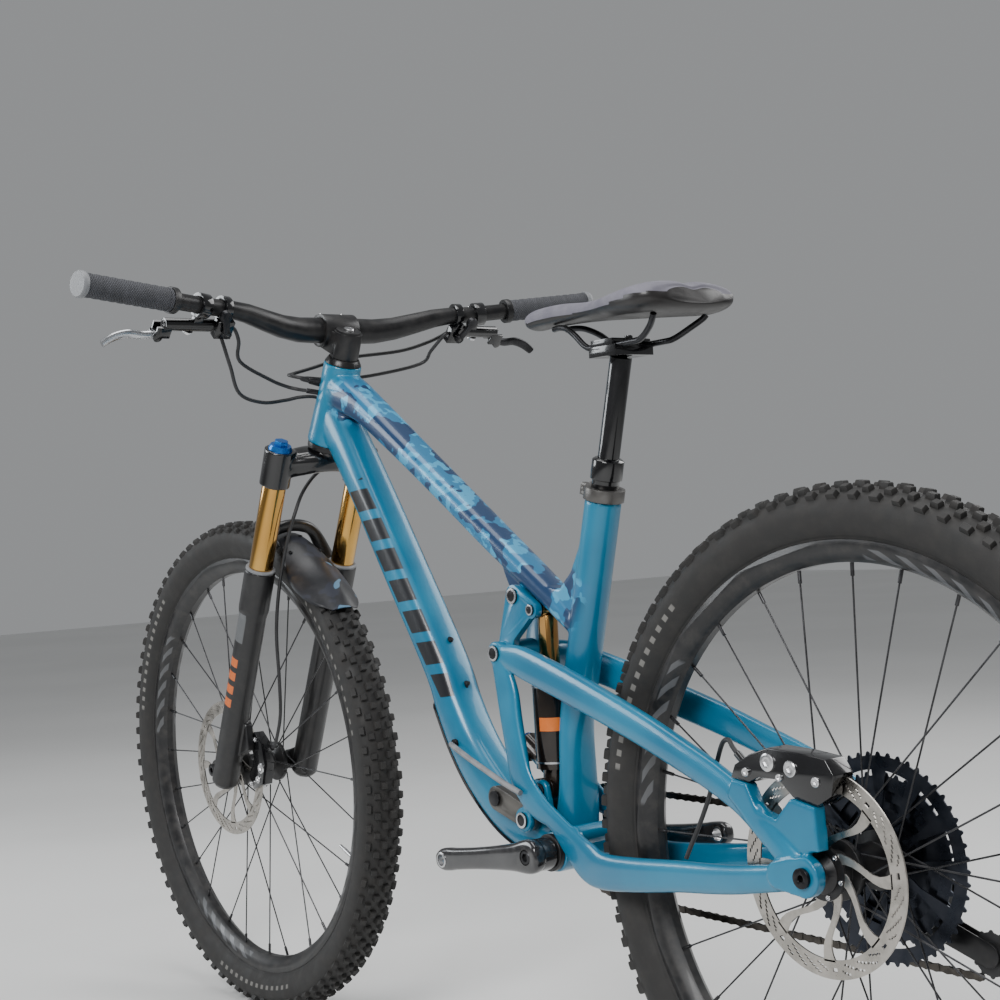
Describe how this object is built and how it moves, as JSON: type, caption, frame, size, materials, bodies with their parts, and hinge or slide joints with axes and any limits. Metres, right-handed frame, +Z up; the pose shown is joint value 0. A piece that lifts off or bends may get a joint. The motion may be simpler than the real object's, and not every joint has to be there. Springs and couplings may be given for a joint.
{
  "type": "mountain bike",
  "caption": "Full-suspension trail mountain bike with a two-link rear end, telescopic fork, dropper post, disc brakes and a single-ring chain drive.",
  "frame": {"origin": "on the ground under the middle of the wheelbase, in the bike's centre plane", "axes": "+X towards the front wheel, +Y to the rider's left, +Z up"},
  "size_m": [1.963, 0.8126, 1.0572],
  "materials": {
    "frame_paint": "gloss teal-blue carbon",
    "stay_paint": "gloss teal-blue carbon",
    "rocker_paint": "gloss teal-blue",
    "guard_rubber": "satin",
    "headset_black": "anodised",
    "clamp_grey": "anodised",
    "bracket_black": "anodised",
    "post_black": "gloss anodised",
    "fittings_dark": "anodised",
    "chain_bronze": "worn",
    "link_bronze": "anodised",
    "bolt_black": "anodised",
    "axle_black": "anodised",
    "caliper_black": "gloss",
    "derailleur_grey": "anodised",
    "hose_black": "satin",
    "hose_grey": "satin",
    "shock_black": "gloss",
    "shock_gold": "polished",
    "cage_dark": "anodised",
    "pulley_dark": "satin",
    "tyre_rubber": "dusty",
    "rim_black": "satin",
    "spoke_black": "satin",
    "hub_black": "anodised",
    "rotor_steel": "brushed",
    "cassette_dark": "satin",
    "crank_carbon": "dark carbon",
    "ring_black": "anodised",
    "fork_black": "gloss",
    "stanchion_gold": "polished",
    "stem_black": "satin",
    "bar_black": "satin",
    "grip_rubber": "matt",
    "control_black": "satin",
    "lever_silver": "polished",
    "lever_black": "satin",
    "lowers_black": "satin",
    "mudguard_plastic": "satin",
    "saddle_cover": "matt",
    "rail_black": "satin"
  },
  "bodies": {
    "frame": {"front_frame": "frame_paint", "down_tube_guard": "guard_rubber", "headset_cups": "headset_black", "seat_clamp": "clamp_grey", "bottom_bracket": "bracket_black", "dropper_housing": "post_black", "frame_fittings": "fittings_dark", "chain_ring_wrap": "chain_bronze"},
    "lower_link": {"lower_link": "link_bronze", "lower_link_bolts": "bolt_black", "link_hose": "hose_grey"},
    "rear_triangle": {"rear_triangle": "stay_paint", "rear_axle": "axle_black", "rear_caliper": "caliper_black", "derailleur_body": "derailleur_grey", "rear_pivot_bolts": "bolt_black", "chain_cog_wrap": "chain_bronze", "rear_brake_hose": "hose_black"},
    "rocker": {"rocker_link": "rocker_paint", "rocker_bolts": "bolt_black"},
    "shock_can": {"shock_can": "shock_black"},
    "shock_shaft": {"shock_shaft": "shock_gold"},
    "derailleur_cage": {"derailleur_cage": "cage_dark"},
    "upper_pulley": {"upper_pulley": "pulley_dark"},
    "lower_pulley": {"lower_pulley": "pulley_dark"},
    "rear_wheel": {"rear_tyre": "tyre_rubber", "rear_rim": "rim_black", "rear_spokes": "spoke_black", "rear_hub": "hub_black", "rear_rotor": "rotor_steel"},
    "cassette": {"cassette": "cassette_dark"},
    "crankset": {"left_crank": "crank_carbon", "drive_crank": "crank_carbon", "chainring": "ring_black"},
    "chain_upper_run": {"chain_upper_run": "chain_bronze"},
    "chain_lower_run": {"chain_lower_run": "chain_bronze"},
    "steering": {"fork_crown": "fork_black", "fork_stanchions": "stanchion_gold", "stem": "stem_black", "handlebar": "bar_black", "grips": "grip_rubber", "bar_controls": "control_black", "bar_hoses": "hose_black"},
    "left_brake_lever": {"left_brake_lever": "lever_silver"},
    "right_brake_lever": {"right_brake_lever": "lever_black"},
    "shift_paddle": {"shift_paddle": "lever_black"},
    "dropper_paddle": {"dropper_paddle": "lever_black"},
    "fork_lowers": {"fork_lowers": "lowers_black", "front_axle": "axle_black", "front_caliper": "caliper_black", "mudguard": "mudguard_plastic", "front_brake_hose": "hose_black"},
    "front_wheel": {"front_tyre": "tyre_rubber", "front_rim": "rim_black", "front_spokes": "spoke_black", "front_hub": "hub_black", "front_rotor": "rotor_steel"},
    "dropper_post": {"dropper_shaft": "post_black", "saddle": "saddle_cover", "saddle_rails": "rail_black"}
  },
  "joints": [
    {"name": "suspension", "type": "hinge", "parent": "frame", "child": "lower_link", "pos_m": [-0.059, 0, 0.389], "axis": [0, 1, 0], "range_deg": [0, 28]},
    {"name": "stay_pivot", "type": "hinge", "parent": "lower_link", "child": "rear_triangle", "pos_m": [-0.121, 0, 0.37], "axis": [0, 1, 0], "range_deg": [-17.5, 0.5]},
    {"name": "rocker_pivot", "type": "hinge", "parent": "frame", "child": "rocker", "pos_m": [-0.0985, 0, 0.6345], "axis": [0, 1, 0], "range_deg": [-33, 0.5]},
    {"name": "shock_tilt", "type": "hinge", "parent": "frame", "child": "shock_can", "pos_m": [-0.132, 0, 0.404], "axis": [0, 1, 0], "range_deg": [-0.2, 5]},
    {"name": "shock_stroke", "type": "slide", "parent": "shock_can", "child": "shock_shaft", "axis": [0, 0, -1], "range_m": [-0.001, 0.016]},
    {"name": "cage_swing", "type": "hinge", "parent": "rear_triangle", "child": "derailleur_cage", "pos_m": [-0.632, -0.0625, 0.311], "axis": [0, 1, 0], "range_deg": [-35, 1]},
    {"name": "chain_upper_swing", "type": "hinge", "parent": "frame", "child": "chain_upper_run", "pos_m": [-0.165, -0.052, 0.40079], "axis": [0, 1, 0], "range_deg": [-0.5, 17]},
    {"name": "chain_lower_swing", "type": "hinge", "parent": "frame", "child": "chain_lower_run", "pos_m": [-0.165, -0.052, 0.27121], "axis": [0, 1, 0], "range_deg": [-0.5, 12]},
    {"name": "crank_spin", "type": "hinge", "parent": "frame", "child": "crankset", "pos_m": [-0.165, 0, 0.336], "axis": [0, 1, 0], "continuous": true},
    {"name": "cassette_spin", "type": "hinge", "parent": "rear_triangle", "child": "cassette", "pos_m": [-0.6085, 0, 0.373], "axis": [0, 1, 0], "continuous": true},
    {"name": "upper_pulley_spin", "type": "hinge", "parent": "derailleur_cage", "child": "upper_pulley", "pos_m": [-0.632, -0.0625, 0.311], "axis": [0, 1, 0], "continuous": true},
    {"name": "lower_pulley_spin", "type": "hinge", "parent": "derailleur_cage", "child": "lower_pulley", "pos_m": [-0.706, -0.0625, 0.287], "axis": [0, 1, 0], "continuous": true},
    {"name": "rear_wheel_spin", "type": "hinge", "parent": "rear_triangle", "child": "rear_wheel", "pos_m": [-0.6085, 0, 0.373], "axis": [0, 1, 0], "continuous": true},
    {"name": "steering", "type": "hinge", "parent": "frame", "child": "steering", "pos_m": [0.34294, 0, 0.83837], "axis": [-0.4226, 0, 0.9063], "range_deg": [-55, 55]},
    {"name": "fork_travel", "type": "slide", "parent": "steering", "child": "fork_lowers", "axis": [-0.4226, 0, 0.9063], "range_m": [0, 0.125], "deforming": ["front_brake_hose"]},
    {"name": "front_wheel_spin", "type": "hinge", "parent": "fork_lowers", "child": "front_wheel", "pos_m": [0.6085, 0, 0.373], "axis": [0, 1, 0], "continuous": true},
    {"name": "dropper_travel", "type": "slide", "parent": "frame", "child": "dropper_post", "axis": [0.2672, 0, -0.9636], "range_m": [0, 0.11]},
    {"name": "left_brake_lever", "type": "hinge", "parent": "steering", "child": "left_brake_lever", "pos_m": [0.30323, 0.272, 0.98896], "axis": [0.7193, 0, 0.6947], "range_deg": [0, 18], "stiffness_Nm_per_rad": 2, "springref_deg": -2.86},
    {"name": "right_brake_lever", "type": "hinge", "parent": "steering", "child": "right_brake_lever", "pos_m": [0.30323, -0.272, 0.98896], "axis": [-0.7193, 0, -0.6947], "range_deg": [0, 18], "stiffness_Nm_per_rad": 2, "springref_deg": -2.86},
    {"name": "dropper_paddle", "type": "hinge", "parent": "steering", "child": "dropper_paddle", "pos_m": [0.27208, 0.186, 0.98668], "axis": [0.7193, 0, 0.6947], "range_deg": [-22, 0], "stiffness_Nm_per_rad": 1, "springref_deg": 2.86},
    {"name": "shift_paddle", "type": "hinge", "parent": "steering", "child": "shift_paddle", "pos_m": [0.27208, -0.186, 0.98668], "axis": [-0.7193, 0, -0.6947], "range_deg": [-22, 0], "stiffness_Nm_per_rad": 1, "springref_deg": 2.86}
  ],
  "couplings": [
    {"joint": "stay_pivot", "follows": "suspension", "ratio": -0.61},
    {"joint": "rocker_pivot", "follows": "suspension", "ratio": -1.14},
    {"joint": "shock_tilt", "follows": "suspension", "ratio": 0.138},
    {"joint": "shock_stroke", "follows": "suspension", "m_per_rad": 0.0288},
    {"joint": "cage_swing", "follows": "suspension", "ratio": -1.15},
    {"joint": "chain_upper_swing", "follows": "suspension", "ratio": 0.567},
    {"joint": "chain_lower_swing", "follows": "suspension", "ratio": 0.38},
    {"joint": "cassette_spin", "follows": "crank_spin", "ratio": 2.6667},
    {"joint": "upper_pulley_spin", "follows": "crank_spin", "ratio": -2.6667},
    {"joint": "lower_pulley_spin", "follows": "crank_spin", "ratio": 2.6667}
  ]
}
